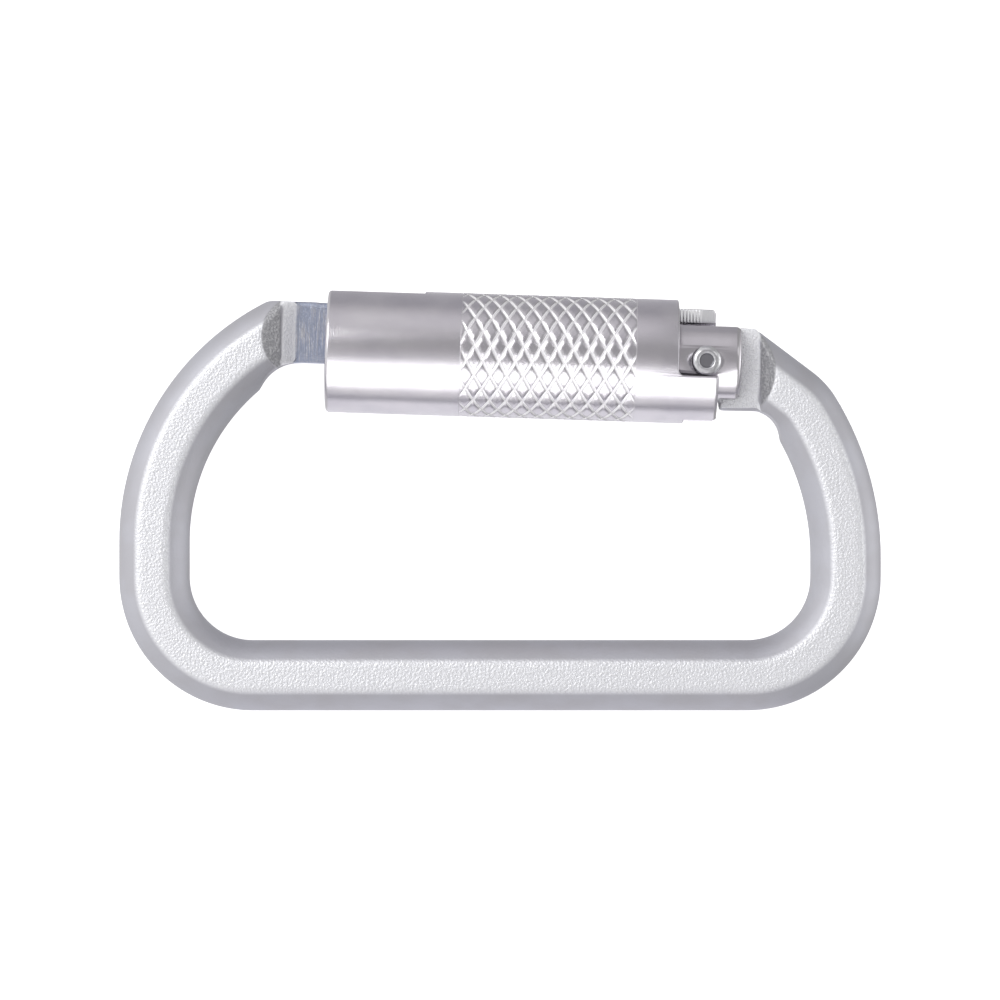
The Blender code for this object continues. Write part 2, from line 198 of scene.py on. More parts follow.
def finishPiece(piece, body, material, slot, *nodes):
    piece.data.materials.clear()
    piece.data.materials.append(material)
    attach(piece, body)
    if nodes:
        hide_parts(*nodes)


class Wire:
    # one output in a node tree, with the maths written as expressions
    def __init__(self, tree, out=None):
        self.tree, self.out = tree, out

    def node(self, kind, links=None, settings=None, out=0):
        made = self.tree.nodes.new(kind)
        for name, value in (settings or {}).items():
            if name == "stops":
                ramp = made.color_ramp
                while len(ramp.elements) < len(value):
                    ramp.elements.new(0.5)
                for element, (at, colour) in zip(ramp.elements, value):
                    element.position = at
                    element.color = (*colour, 1) if len(colour) == 3 else colour
            else:
                setattr(made, name, value)
        for name, value in (links or {}).items():
            if isinstance(value, Wire):
                self.tree.links.new(value.out, made.inputs[name])
            else:
                made.inputs[name].default_value = value
        return Wire(self.tree, made.outputs[out])

    def math(self, kind, first, second=0.0):
        return self.node('ShaderNodeMath', {0: first, 1: second}, {"operation": kind})

    def __add__(self, other):
        return self.math('ADD', self, other)

    def __radd__(self, other):
        return self.math('ADD', other, self)

    def __sub__(self, other):
        return self.math('SUBTRACT', self, other)

    def __rsub__(self, other):
        return self.math('SUBTRACT', other, self)

    def __mul__(self, other):
        return self.math('MULTIPLY', self, other)

    def __rmul__(self, other):
        return self.math('MULTIPLY', other, self)

    def step(self, low, high, toLow=0.0, toHigh=1.0):
        # an eased ramp between two values
        return self.node(
            'ShaderNodeMapRange',
            {"Value": self, "From Min": low, "From Max": high, "To Min": toLow, "To Max": toHigh},
            {"interpolation_type": 'SMOOTHSTEP'})


def newMaterial(name, **constants):
    material = bpy.data.materials.new(name)
    material.use_nodes = True
    shader = material.node_tree.nodes["Principled BSDF"]
    for socket, value in {"Metallic": 1.0, **constants}.items():
        shader.inputs[socket].default_value = value
    return material, Wire(material.node_tree), shader


def connect(wire, shader, **sockets):
    for name, value in sockets.items():
        wire.tree.links.new(value.out, shader.inputs[name.replace("_", " ")])


def axesOf(wire, coords):
    split = wire.node('ShaderNodeSeparateXYZ', {"Vector": coords})
    outs = split.out.node.outputs
    return [Wire(wire.tree, outs[i]) for i in range(3)]


def mixColour(wire, factor, first, second):
    mixed = wire.node('ShaderNodeMix', {"Factor": factor}, {"data_type": 'RGBA'}, out=2)
    node = mixed.out.node
    for index, value in ((6, first), (7, second)):
        if isinstance(value, Wire):
            wire.tree.links.new(value.out, node.inputs[index])
        else:
            node.inputs[index].default_value = (*value, 1)
    return mixed


def noise(wire, coords, size, detail=2.0, rough=0.5):
    # size is the grain in mm
    return wire.node(
        'ShaderNodeTexNoise',
        {"Vector": coords, "Scale": 1 / (size * mm), "Detail": detail, "Roughness": rough})


def stretched(wire, coords, angle, scale):
    return wire.node(
        'ShaderNodeMapping',
        {"Vector": coords, "Rotation": (0, 0, angle), "Scale": scale})


def bump(wire, height, depth):
    return wire.node(
        'ShaderNodeBump', {"Height": height, "Strength": 1.0, "Distance": depth * mm})


tiltAngle = math.atan2(toNose.y, -toNose.x)

forgedLook = {
    "side": (0.60, 0.60, 0.645),
    "shade": (0.575, 0.57, 0.605),
    "skin": (0.45, 0.45, 0.47),
    "hingeDisc": (31.4, 18.3), "noseDisc": (-27.7, 23.1),
    # near-white: the painted highlight on the flats, the hinge tongue and the nose step
    "flat": (0.96, 0.965, 1.0),
    "ground": (0.40, 0.44, 0.56),
    "roughness": 0.60,
    "grain": 0.36,
    "grainDepth": 0.2,
}


forgedMarks = {
    # where each finish and each painted highlight fades in or out, in mm
    "hingeAbove": (12.0, 12.6), "hingeRight": (25.0, 26.0),
    "noseAbove": (8.0, 9.0), "noseLeft": (-11.0, -10.0),
    "hingeStep": (36.6, 37.0), "noseStep": (-31.1, -30.7),
    "pressed": (4.2, 4.66), "tongueLow": (1.9, 2.1), "tongueHigh": (2.45, 2.7),
    "bandLow": (1.95, 2.1), "bandHigh": (3.5, 3.75),
    "groundStart": (-29.4, -29.0), "groundHigh": (2.0, 2.15),
}


def forgedSteel():
    look, marks = forgedLook, forgedMarks
    falling = (1.0, 0.0)
    material, wire, shader = newMaterial("shotBlastedZinc")
    coords = wire.node('ShaderNodeTexCoord', out=3)
    x, y, z = axesOf(wire, coords)
    high = wire.math('ABSOLUTE', z) * (1 / mm)
    along = x * (1 / mm)
    up = y * (1 / mm)
    grain = noise(wire, coords, look["grain"], 2.0, 0.55)
    cloud = noise(wire, coords, 6.0, 3.0, 0.5)
    # the bowed steps beside both tongues keep the dark forging skin
    atHinge = up.step(*marks["hingeAbove"]) * along.step(*marks["hingeRight"])
    atNose = up.step(*marks["noseAbove"]) * along.step(*marks["noseLeft"], *falling)

    def disc(spot, radius):
        (across, rise) = along - spot[0], up - spot[1]
        reach = wire.math('POWER', across * across + rise * rise, 0.5)
        return reach.step(radius - 0.25, radius + 0.05, *falling)

    hingeSkin = disc(look["hingeDisc"], hingeShape["bow"]) * along.step(*marks["hingeStep"])
    noseSkin = disc(look["noseDisc"], noseShape["bow"]) * along.step(*marks["noseStep"], *falling)
    skin = hingeSkin + noseSkin
    # the front and back flats, easing onto the round, get a painted highlight
    pressed = high.step(*marks["pressed"]) * (1 - skin)
    # the hinge tongue and the steep nose step get a painted highlight, near-white, the nose tongue is
    # ground
    hingeFlat = atHinge * along.step(*marks["hingeStep"], *falling)
    hingeFlat = hingeFlat * high.step(*marks["tongueHigh"], *falling) * high.step(*marks["tongueLow"])
    noseStep = atNose * along.step(*marks["noseStep"])
    noseStep = noseStep * high.step(*marks["bandLow"]) * high.step(*marks["bandHigh"], *falling)
    noseFlat = atNose * along.step(*marks["groundStart"]) * high.step(*marks["groundHigh"], *falling)
    # all painted highlights together: the flats, the hinge tongue and the nose step
    light = wire.math('MAXIMUM', wire.math('MAXIMUM', pressed, hingeFlat), noseStep)

    side = mixColour(wire, cloud.step(0.35, 0.65), look["side"], look["shade"])
    side = mixColour(wire, skin, side, look["skin"])
    # the light mask mixes in the near-white flat colour as the painted highlight
    base = mixColour(wire, light, side, look["flat"])
    scratchCoords = stretched(wire, coords, tiltAngle, (1.0, 0.05, 1.0))
    scratch = noise(wire, scratchCoords, 0.18, 2.0, 0.6)
    ground = mixColour(wire, scratch.step(0.45, 0.7), look["ground"], look["side"])
    base = mixColour(wire, noseFlat, base, ground)
    # white flecks: the blasted grain, painted as glints on the highlit flats and on the skin
    base = mixColour(wire, grain.step(0.45, 0.62) * (light * 0.35 + skin * 0.25), base, (1, 1, 1))
    rough = look["roughness"] + (cloud - 0.5) * 0.1 - light * 0.1
    rough = rough - noseFlat * 0.25 - noseStep * 0.3 + hingeFlat * 0.1
    coarse = 0.08 + light * 0.92 - noseFlat * 0.04 + skin * 1.1 + hingeFlat * 0.8
    relief = grain * coarse + scratch * noseFlat * 0.25
    connect(
        wire, shader, Base_Color=base, Roughness=rough,
        Metallic=1 - noseStep * 0.9 - hingeFlat * 0.8,
        Normal=bump(wire, relief, look["grainDepth"]))
    return material


turnedLook = {
    "light": (0.68, 0.66, 0.69),
    "dark": (0.60, 0.58, 0.62),
    "roughness": 0.2,
    "grain": 0.15,
    "grainDepth": 0.02,
    "toolMark": 0.11,
    "toolDepth": 0.0016,
    "wall": (-4.06, -4.02, -3.98, -3.94), "wallStart": (24.9, 25.1), "wallAbove": (24.0, 24.4),
    "ribEnd": (28.6, 29.2), "grooveEdge": (8.66, 8.73),
    "rib": 0.46, "ribDepth": 0.03, "milledTone": (0.95, 0.95, 0.97),
    "grooveHighlight": (0.97, 0.96, 0.98), "grooveRough": 0.25,
}


def turnedSteel(name, light, dark, roughness, grainDepth, milled=False, knurled=False):
    look = turnedLook
    material, wire, shader = newMaterial(name)
    coords = wire.node('ShaderNodeTexCoord', out=3)
    along = stretched(wire, coords, tiltAngle, (1.0, 1.0, 1.0))
    grain = noise(wire, coords, look["grain"], 2.0, 0.55)
    # fine rings left by the lathe tool
    ringCoords = stretched(wire, along, 0.0, (1.0, 0.015, 0.015))
    rings = noise(wire, ringCoords, look["toolMark"], 2.0, 0.6)
    cloud = noise(wire, coords, 7.0, 3.0, 0.5)
    base = mixColour(wire, cloud.step(0.3, 0.7), light, dark)
    rough = roughness + (cloud - 0.5) * 0.06 + (rings - 0.5) * 0.05
    relief = grain * grainDepth + rings * look["toolDepth"]
    if milled:
        # upright cutter marks on the wall behind the pin
        x, y, z = (axis * (1 / mm) for axis in axesOf(wire, coords))
        back, wallBack, wallFront, front = look["wall"]
        face = z.step(back, wallBack) * z.step(wallFront, front, 1.0, 0.0)
        face = face * x.step(*look["wallStart"]) * y.step(*look["wallAbove"])
        ribs = wire.math('SINE', x * (2 * math.pi / look["rib"]))
        ribs = ribs * x.step(*look["ribEnd"], 1.0, 0.15) * face
        relief = relief * (1 - face * 0.5) + ribs * look["ribDepth"]
        base = mixColour(wire, face, base, look["milledTone"])
        rough = rough + face * 0.15
    if knurled:
        # the groove walls get a painted highlight, near-white, and are a little rougher
        x, y, z = axesOf(wire, coords)
        across = (x - hinge.x) * outward.x + (y - hinge.y) * outward.y
        reach = wire.math('POWER', across * across + z * z, 0.5) * (1 / mm)
        wall = reach.step(*look["grooveEdge"], 1.0, 0.0)
        base = mixColour(wire, wall, base, look["grooveHighlight"])
        rough = rough + wall * look["grooveRough"]
    connect(
        wire, shader, Base_Color=base, Roughness=rough, Normal=bump(wire, relief, 1.0))
    return material


def pinSteel(name, centre):
    # bright faced end, with turning rings about its own axis
    material, wire, shader = newMaterial(name)
    coords = wire.node('ShaderNodeTexCoord', out=3)
    local = wire.node('ShaderNodeMapping', {"Vector": coords, "Location": tuple(-c for c in centre)})
    x, y, z = axesOf(wire, local)
    reach = wire.math('POWER', x * x + y * y, 0.5)
    rings = wire.math('SINE', reach * (2 * math.pi / (0.16 * mm)))
    grain = noise(wire, coords, 0.3, 2.0, 0.5)
    base = mixColour(wire, grain.step(0.35, 0.65), (0.74, 0.74, 0.76), (0.62, 0.62, 0.64))
    # painted shade: darker within 0.8 mm of the centre, for the rivet's recess floor
    base = mixColour(wire, reach.step(0.8 * mm, 1.0 * mm, 1.0, 0.0), base, (0.3, 0.3, 0.32))
    relief = rings * 0.001 + grain * 0.003
    connect(
        wire, shader, Base_Color=base, Roughness=0.2 + (grain - 0.5) * 0.1,
        Normal=bump(wire, relief, 1.0))
    return material


def plainMetal(name, colour, worn, roughness, grainSize):
    material, wire, shader = newMaterial(name)
    coords = wire.node('ShaderNodeTexCoord', out=3)
    grain = noise(wire, coords, grainSize, 3.0, 0.6)
    base = mixColour(wire, grain.step(0.35, 0.7), colour, worn)
    connect(
        wire, shader, Base_Color=base, Roughness=roughness + (grain - 0.5) * 0.15,
        Normal=bump(wire, grain, 0.01))
    return material


barShape = {
    "radius": 5.0, "faceHeight": 4.665, "sides": 72,
    "noseBend": ((-16.0, -5.8), 33.0, 106.0), "corner": ((35.05, -10.9), 13.95),
    "hingeBend": ((10.65, -8.1), 38.35, 31.5), "shoulder": (8.0, 53.0, 9.5),
    "voxel": 0.3,
}
noseShape = {
    "half": 2.0, "tip": 41.5, "top": 6.7, "bottom": -1.9, "latch": 46.5, "notch": 1.6,
    "slopeStart": 62.55, "bandStart": 59.6, "flatStart": 57.8, "bandHeight": 3.65,
    "relief": ((-28.9, 14.0), 5.4), "bow": 6.0, "bowMiddle": 1.6,
}
latchCentre = hinge + toNose * noseShape["latch"] * mm
latchSpace = spaceOf(latchCentre, toNose, outward)
hingeShape = {
    "half": 2.4, "camLow": 4.0, "camHigh": 5.0, "topRadius": 4.6, "swing": 36.0,
    "flatX": 36.5, "slopeX": 38.9, "bow": 7.5, "bowMiddle": -1.0,
    "underY": 12.6, "fillet": 3.75, "hole": 2.05, "underRound": 1.3,
}


def spinBar(piece, centre, degrees, step=2.0):
    bpy.ops.mesh.spin(
        steps=max(int(degrees / step), 4), angle=-math.radians(degrees),
        center=(centre[0] * mm, centre[1] * mm, 0), axis=(0, 0, 1))


def pullBar(x, y):
    bpy.ops.mesh.extrude_edges_move(TRANSFORM_OT_translate={"value": (x * mm, y * mm, 0)})


def bentBar():
    s = barShape
    centre, radius, start = s["noseBend"]
    angle = math.radians(start)
    deselectAll()
    bpy.ops.mesh.primitive_circle_add(
        vertices=s["sides"], radius=s["radius"] * mm,
        location=((centre[0] + radius * math.cos(angle)) * mm,
                  (centre[1] + radius * math.sin(angle)) * mm, 0),
        rotation=(math.pi / 2, 0, angle))
    piece = bpy.context.object
    piece.name = "forgedBody"
    bpy.ops.object.transform_apply(location=True, rotation=True)
    # the press leaves the front and the back flat
    for side in (1, -1):
        for vert in piece.data.vertices:
            vert.select = False
        for edge in piece.data.edges:
            edge.select = False
        for vert in piece.data.vertices:
            vert.select = vert.co.z * side > s["faceHeight"] * mm
        edit(piece)
        bpy.ops.transform.resize(
            value=(1, 1, 0), center_override=(0, 0, side * s["faceHeight"] * mm))
        done()
    edit(piece, 'EDGE')
    bpy.ops.mesh.select_all(action='SELECT')
    (cornerX, cornerY), cornerRadius = s["corner"]
    spinBar(piece, centre, 180.0 - start)
    pullBar(0, cornerY - centre[1])
    spinBar(piece, (-cornerX, cornerY), 90.0, 3.0)
    pullBar(2 * cornerX, 0)
    spinBar(piece, (cornerX, cornerY), 90.0, 3.0)
    (hingeX, hingeY), hingeRadius, hingeEnd = s["hingeBend"]
    pullBar(0, hingeY - cornerY)
    spinBar(piece, (hingeX, hingeY), hingeEnd)
    bendRadius, bendEnd, run = s["shoulder"]
    pull = hingeRadius - bendRadius
    turn = math.radians(hingeEnd)
    bendCentre = (hingeX + pull * math.cos(turn), hingeY + pull * math.sin(turn))
    spinBar(piece, bendCentre, bendEnd - hingeEnd)
    heading = math.radians(bendEnd + 90)
    pullBar(run * math.cos(heading), run * math.sin(heading))
    bpy.ops.mesh.select_all(action='DESELECT')
    bpy.ops.mesh.select_non_manifold()
    bpy.ops.mesh.edge_face_add()
    bpy.ops.mesh.select_all(action='DESELECT')
    bpy.ops.mesh.select_non_manifold()
    bpy.ops.mesh.edge_face_add()
    done()
    facesOut(piece)
    return piece


def slopeCutters(name, steps, bowX, radius, middle):
    # steps across the bar, cut on both faces; the edge at bowX is bent into an arc
    cutters = []
    for side in (1, -1):
        outline = steps if side > 0 else [(x, -z) for x, z in reversed(steps)]
        cutter = plate(name, outline, -10, 10, flat)
        edit(cutter)
        for step in range(-9, 10):
            bpy.ops.mesh.select_all(action='SELECT')
            bpy.ops.mesh.bisect(plane_co=(0, 0, step * 0.7 * mm), plane_no=(0, 0, 1))
        done()
        for vert in cutter.data.vertices:
            if abs(vert.co.x / mm - bowX) < 0.01:
                off = min(abs(vert.co.z / mm - middle), abs(radius) * 0.8)
                bow = abs(radius) - math.sqrt(radius * radius - off * off)
                vert.co.x -= math.copysign(bow, radius) * mm
        cutters.append(place(cutter, topSpace))
    return cutters


def noseParts():
    n, face = noseShape, barShape["faceHeight"]
    floor = n["half"] - 0.1
    steps = [(n["slopeStart"], 9), (n["slopeStart"], face), (n["bandStart"], n["bandHeight"]),
             (n["flatStart"], floor), (45, floor), (45, 9)]
    cutters = slopeCutters("noseSlope", steps, n["slopeStart"], n["bow"], n["bowMiddle"])
    trim = [(45, n["top"]), (66, n["top"]), (66, 14), (45, 14)]
    cutters.append(plate("noseTop", trim, -9, 9, sideSpace))
    (reliefX, reliefY), reliefRadius = n["relief"]
    spot = Matrix.Translation((reliefX * mm, reliefY * mm, 0))
    cutters.append(lathe("noseRelief", [(reliefRadius, 9), (reliefRadius, -9)], spot))
    outline = [(61.5, 3.0), (60.0, n["top"] - 0.05)]
    outline += arc((n["tip"] + 1.2, n["top"] - 1.25), 1.2, 90, 180, 6)
    outline += arc((n["tip"] + 1.0, n["bottom"] + 1.0), 1.0, 180, 270, 6)
    outline.append((n["latch"] - n["notch"], n["bottom"]))
    outline += arc((n["latch"], 0), n["notch"], 180, 0, 14)
    outline.append((n["latch"] + n["notch"], n["bottom"]))
    outline += [(57.6, n["bottom"]), (60.0, 0.5)]
    tongue = plate("noseTongue", outline, -n["half"], n["half"], sideSpace)
    apply(tongue, 'BEVEL', width=0.3 * mm, segments=2, limit_method='ANGLE', angle_limit=math.radians(60))
    return cutters, tongue


def spiral(start, sweep, low, high, steps):
    points = []
    for step in range(steps + 1):
        share = step / steps
        angle = math.radians(start + sweep * share)
        radius = low + (high - low) * share
        points.append((hinge.x / mm + radius * math.cos(angle), hinge.y / mm + radius * math.sin(angle)))
    return points


def hingeParts():
    h, face = hingeShape, barShape["faceHeight"]
    floor = h["half"] - 0.1
    late = []
    flatU, slopeU = hinge.x / mm - h["flatX"], hinge.x / mm - h["slopeX"]
    steps = [(12, 9), (12, floor), (flatU, floor), (slopeU, face), (slopeU, 9)]
    cutters = slopeCutters("hingeSlope", steps, slopeU, -h["bow"], h["bowMiddle"])
    trim = [(24.0, 24.4), (36.2, 24.3), (33.0, 30.0), (24.0, 30.0)]
    cutters.append(plate("hingeTop", trim, -9, 9, flat))
    centre = (35.9, h["underY"] - h["fillet"])
    under = [(20.0, h["underY"]), *arc(centre, h["fillet"], 90, -30, 16), (centre[0], 0), (20.0, 0)]
    cutters.append(plate("hingeBelly", under, -9, 9, flat))
    # the tongue's lower edge is drawn in to a wide round on both faces
    roundness = h["underRound"]
    turn = arc((h["underY"] + roundness, h["half"] - roundness), roundness, 90, 180, 8)
    for side in (1, -1):
        edge = [*turn, (h["underY"] - 2, h["half"] - roundness), (h["underY"] - 2, 4.0), (turn[0][0], 4.0)]
        edge = edge if side > 0 else [(y, -z) for y, z in reversed(edge)]
        late.append(plate("hingeRound", edge, 24.0, 36.8, acrossSpace))
    closed = 180 - math.degrees(tiltAngle)
    outline = spiral(75, 45, h["topRadius"], h["topRadius"], 8)
    outline += spiral(126, 40, h["topRadius"], h["camLow"], 8)
    outline += spiral(closed, h["swing"], h["camLow"], h["camHigh"], 18)
    outline += spiral(closed + 42, 45, h["camHigh"], h["camHigh"], 10)
    outline += [(31.05, 14.2), (31.05, h["underY"] + 0.1), (35.9, h["underY"])]
    outline += [(39.3, 13.2), (40.5, 18.0), (37.2, 23.0), (36.2, 24.2), (34.2, 24.3)]
    tongue = plate("hingeTongue", outline, -h["half"], h["half"], flat)
    apply(tongue, 'BEVEL', width=0.35 * mm, segments=2, limit_method='ANGLE', angle_limit=math.radians(60))
    late.append(lathe("tongueHole", [(h["hole"], 6), (h["hole"], -6)], pinSpace))
    return cutters, tongue, late


def forgedBody():
    piece = bentBar()
    noseCutters, noseTongue = noseParts()
    hingeCutters, hingeTongue, late = hingeParts()
    cut(piece, *noseCutters, *hingeCutters)
    cut(piece, noseTongue, hingeTongue, operation='UNION')
    cut(piece, *late)
    apply(piece, 'REMESH', mode='VOXEL', voxel_size=barShape["voxel"] * mm, use_smooth_shade=True)
    apply(piece, 'SMOOTH', factor=0.5, iterations=3)
    return piece


gateShape = {
    "barrel": 5.8, "head": 7.0, "endU": -5.1, "edge": 0.8, "headU": (37.7, 52.9),
    "slotU": 40.0, "slotHalf": 2.3, "slotFloor": -2.2, "forkHalf": 2.7, "forkU": 6.2,
    "bore": 2.0, "boreU": 24.0, "grooveU": (7.0, 8.6), "groove": 5.05,
    "pinHole": 2.02, "latchHole": 1.35, "cornerBevel": 0.12,
}


def gateBarrel():
    g = gateShape
    rings = [*roundEnd(g["head"], g["headU"][1], 0.5, True), (g["head"], g["headU"][0] + 0.3),
             (g["head"] - 0.3, g["headU"][0]), (g["barrel"], g["headU"][0]),
             (g["barrel"], g["grooveU"][1]), (g["groove"], g["grooveU"][1]),
             (g["groove"], g["grooveU"][0]), (g["barrel"], g["grooveU"][0]),
             *roundEnd(g["barrel"], g["endU"], g["edge"], False)]
    piece = lathe("gateBarrel", rings, turnedSpace)
    fork = [(-12, -g["forkHalf"]), (g["forkU"], -g["forkHalf"]),
            (g["forkU"], g["forkHalf"]), (-12, g["forkHalf"])]
    slot = [(g["slotU"], g["slotFloor"]), (60, g["slotFloor"]), (60, 12), (g["slotU"], 12)]
    cut(
        piece,
        plate("forkSlot", fork, -9, 9, topSpace),
        plate("headSlot", slot, -g["slotHalf"], g["slotHalf"], sideSpace),
        lathe("plungerBore", [(g["bore"], g["boreU"]), (g["bore"], 2)], turnedSpace, 48),
        lathe("earHoles", [(g["pinHole"], 8), (g["pinHole"], -8)], pinSpace, 64),
        lathe("latchHole", [(g["latchHole"], 9), (g["latchHole"], -9)], latchSpace, 48))
    apply(piece, 'BEVEL', width=g["cornerBevel"] * mm, segments=2, limit_method='ANGLE',
          angle_limit=math.radians(50), use_clamp_overlap=False)
    return piece


sleeveShape = {
    "radius": 8.75, "startU": -1.8, "endU": 53.4, "edge": 0.5, "noseBore": 7.3,
    "chamber": 7.0, "web": 6.1, "webU": (33.0, 37.2), "windowU": 3.87, "windowFloor": -2.2,
    "windowWall": -4.0, "windowFillet": 0.9, "slotHalf": 2.25, "slotU": 39.8,
    "notchU": 2.7, "notchHalf": 2.7, "cutBevel": 0.22,
    "tabRound": 1.1, "tabTop": 7.9,
}
knurlShape = {
    "startU": 9.75, "endU": 34.55, "columns": 2.3, "starts": 13, "depth": 0.21,
    "grooveHalf": 0.27, "fade": 0.9, "tuck": 0.05, "inner": 8.3, "cuts": 2,
}


def twistSleeve():
    s, k = sleeveShape, knurlShape
    radius = s["radius"]
    seat = k["inner"] - 0.06
    # the knurl sits in a shallow groove with sloped ends
    high, low = k["endU"] - 0.05, k["startU"] + 0.05
    slope = (radius - seat) * 1.2
    rings = [(s["noseBore"], s["endU"] - 0.35), (s["noseBore"] + 0.35, s["endU"]),
             *roundEnd(radius, s["endU"], s["edge"], True),
             (radius, high), (seat, high - slope), (seat, low + slope), (radius, low),
             *roundEnd(radius, s["startU"], s["edge"], False),
             (s["chamber"], s["startU"]),
             (s["chamber"], s["webU"][0]), (s["web"], s["webU"][0]),
             (s["web"], s["webU"][1]), (s["noseBore"], s["webU"][1])]
    piece = lathe("twistSleeve", rings, turnedSpace, 128, tube=True)
    centre = (s["windowU"] - s["windowFillet"], s["windowFloor"] + s["windowFillet"])
    window = [(-6, s["windowFloor"]), *arc(centre, s["windowFillet"], -90, 0, 8),
              (s["windowU"], 13), (-6, 13)]
    slot = [(s["slotU"], 0), (60, 0), (60, 13), (s["slotU"], 13)]
    # the wall behind the pin ends in a rounded corner
    tab = s["tabRound"]
    top = s["tabTop"]
    corner = [*reversed(arc((s["startU"] + tab, top - tab), tab, 90, 180, 8)), (s["startU"] + tab, 13),
              (-6, 13), (-6, top - tab)]
    notch = [(-6, -13), (s["notchU"], -13), (s["notchU"], -3), (-6, -3)]
    cut(
        piece,
        plate("window", window, -13, -s["windowWall"], sideSpace),
        plate("noseSlot", slot, -s["slotHalf"], s["slotHalf"], sideSpace),
        plate("tongueNotch", notch, -s["notchHalf"], s["notchHalf"], sideSpace),
        plate("tabCorner", corner, 0, 13, sideSpace))
    apply(piece, 'BEVEL', width=s["cutBevel"] * mm, segments=3, limit_method='ANGLE',
          angle_limit=math.radians(50), use_clamp_overlap=False)
    return piece


def knurlBand():
    # a lattice of insets, cut to length, then rolled round the sleeve
    k, radius = knurlShape, sleeveShape["radius"]
    around = 2 * math.pi * radius
    length = k["endU"] - k["startU"]
    across, along = around / k["starts"], k["columns"]
    cells = int((length / along + k["starts"])) + 4
    deselectAll()
    bpy.ops.mesh.primitive_grid_add(x_subdivisions=cells, y_subdivisions=cells, size=cells)
    piece = bpy.context.object
    piece.name = "sleeveKnurl"
    edit(piece, 'FACE')
    bpy.ops.mesh.select_all(action='SELECT')
    bpy.ops.transform.rotate(value=math.pi / 4, orient_axis='Z', center_override=(0, 0, 0))
    bpy.ops.transform.resize(
        value=(along * mm / math.sqrt(2), across * mm / math.sqrt(2), 1), center_override=(0, 0, 0))
    bpy.ops.mesh.inset(thickness=k["grooveHalf"] * mm, depth=k["depth"] * mm, use_individual=True)
    bpy.ops.mesh.select_all(action='SELECT')
    bpy.ops.mesh.subdivide(number_cuts=k["cuts"])
    limits = (((length / 2) * mm, 0, (1, 0, 0)), ((-length / 2) * mm, 0, (-1, 0, 0)),
              (0, (around / 2) * mm, (0, 1, 0)), (0, (-around / 2) * mm, (0, -1, 0)))
    for x, y, normal in limits:
        bpy.ops.mesh.select_all(action='SELECT')
        bpy.ops.mesh.bisect(plane_co=(x, y, 0), plane_no=normal, clear_outer=True, threshold=1e-7)
    done()
    middle = (k["startU"] + k["endU"]) / 2
    for vert in piece.data.vertices:
        u, turn = vert.co.x / mm, vert.co.y / mm / radius
        toEnd = length / 2 - abs(u)
        share = min(toEnd / k["fade"], 1.0)
        depth = (k["depth"] - vert.co.z / mm) * share
        tuck = k["tuck"] * max(1 - toEnd / 0.2, 0.0)
        reach = (radius - depth - tuck) * mm
        vert.co = (reach * math.cos(turn), reach * math.sin(turn), (u + middle) * mm)
    facesOut(piece)
    edit(piece, 'EDGE')
    bpy.ops.mesh.select_all(action='DESELECT')
    bpy.ops.mesh.select_non_manifold()
    bpy.ops.mesh.extrude_edges_move()
    shrink = k["inner"] / (radius - k["tuck"])
    bpy.ops.transform.resize(value=(shrink, shrink, 1), center_override=(0, 0, 0))
    bpy.ops.mesh.bridge_edge_loops()
    done()
    facesOut(piece)
    return place(piece, turnedSpace)


def hingePin():
    p = {"radius": 1.95, "head": 2.12, "seat": 5.9, "front": 8.3, "back": -5.8,
         "recess": 0.98, "deep": 0.75}
    rings = [(0.05, p["front"] - p["deep"]), (p["recess"] - 0.12, p["front"] - p["deep"]),
             (p["recess"], p["front"] - 0.2), (p["recess"] + 0.12, p["front"] - 0.05),
             (p["recess"] + 0.25, p["front"]),
             *roundEnd(p["head"], p["front"], 0.85, True, 10),
             (p["head"], p["seat"] + 0.3), (p["radius"], p["seat"]),
             *roundEnd(p["radius"], p["back"], 0.3, False)]
    return lathe("rivetPin", rings, pinSpace, 80)


def latchPin():
    length, radius = 6.5, 1.25
    rings = [*roundEnd(radius, length, 0.2, True), *roundEnd(radius, -length, 0.2, False)]
    return lathe("crossPin", rings, latchSpace, 48)


room = {
    # brightness overhead, from the spine side (0) to the gate side (1)
    "sky": [(0.0, 0.9), (0.1, 0.75), (0.4, 0.75), (0.46, 0.66), (0.52, 0.47), (0.7, 0.42),
            (0.78, 0.55), (0.9, 0.8), (0.97, 0.78), (1.0, 0.6)],
    # brightness low down, in the same order
    "low": [(0.0, 1.05), (0.35, 0.95), (0.5, 0.85), (0.75, 0.56), (1.0, 0.47)],
    # brightness to the left (0) and to the right (1)
    "sides": [(0.0, 1.1), (0.1, 0.9), (0.38, 0.72), (0.5, 0.55), (0.62, 0.46), (0.82, 0.46),
              (0.93, 0.75), (0.975, 1.2), (1.0, 2.1)],
    "strip": (0.15, 0.35),
    "horizon": (-0.12, 0.06),
    "peak": 2.2,
    "backdrop": (0.49, 0.49, 0.49),
}
cameraView = {"height": 0.55, "lens": 139.6, "sensor": 36, "nearest": 0.01}
softboxes = {
    # direction, distance, width, height, brightness
    "keySoftbox": ((-0.58, 0.46, 0.70), 0.7, 0.44, 0.44, 2.0),
    "fillSoftbox": ((0.58, 0.50, 0.64), 0.8, 0.26, 0.26, 0.6),
    "barrelSoftbox": ((0.0, -0.70, 0.71), 0.6, 0.80, 0.60, 1.4),
}


